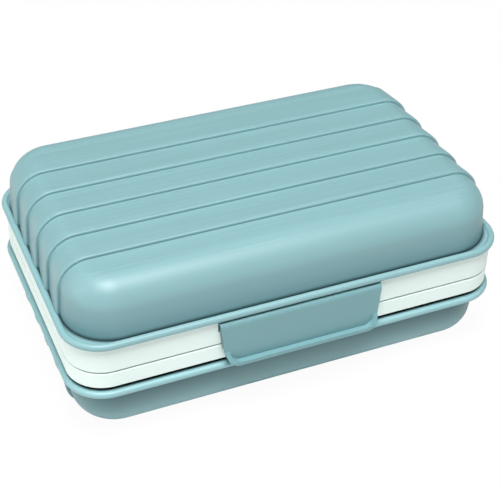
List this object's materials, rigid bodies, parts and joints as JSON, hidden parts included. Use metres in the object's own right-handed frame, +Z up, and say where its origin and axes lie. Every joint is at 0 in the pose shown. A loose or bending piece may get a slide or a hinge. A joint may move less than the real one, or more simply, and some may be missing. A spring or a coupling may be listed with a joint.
{
  "type": "travel soap box",
  "caption": "Suitcase-shaped travel soap box with ribbed teal shells, white bands, a front latch, a rear-hinged lid and a lift-out drain tray.",
  "frame": {"origin": "centre of the footprint, on the plane that the box stands on", "axes": "+X along the length to the right as seen from the latch, +Y towards the hinge side, +Z up"},
  "size_m": [0.12, 0.082, 0.0477],
  "materials": {
    "teal_plastic": "pale grey-teal moulded plastic, satin gloss",
    "white_plastic": "cool white moulded plastic, satin gloss",
    "tray_plastic": "cool white moulded plastic, satin gloss",
    "seal_rubber": "matt milky silicone rubber",
    "pin_steel": "plain drawn stainless wire"
  },
  "bodies": {
    "base": {"base_shell": "teal_plastic", "base_frame": "white_plastic", "seal_ring": "seal_rubber", "hinge_pin_left": "pin_steel", "hinge_pin_right": "pin_steel"},
    "lid": {"lid_shell": "teal_plastic", "lid_frame": "white_plastic", "latch_pin": "pin_steel"},
    "latch": {"latch": "teal_plastic"},
    "tray": {"drain_tray": "tray_plastic"}
  },
  "joints": [
    {"name": "lid_hinge", "type": "hinge", "parent": "base", "child": "lid", "pos_m": [0, 0.03953, 0.0231], "axis": [-1, 0, 0], "range_deg": [0, 150]},
    {"name": "latch_hinge", "type": "hinge", "parent": "lid", "child": "latch", "pos_m": [0, -0.03745, 0.0289], "axis": [-1, 0, 0], "range_deg": [0, 95]},
    {"name": "tray_lift", "type": "slide", "parent": "base", "child": "tray", "axis": [0, 0, 1], "range_m": [0, 0.009]}
  ]
}
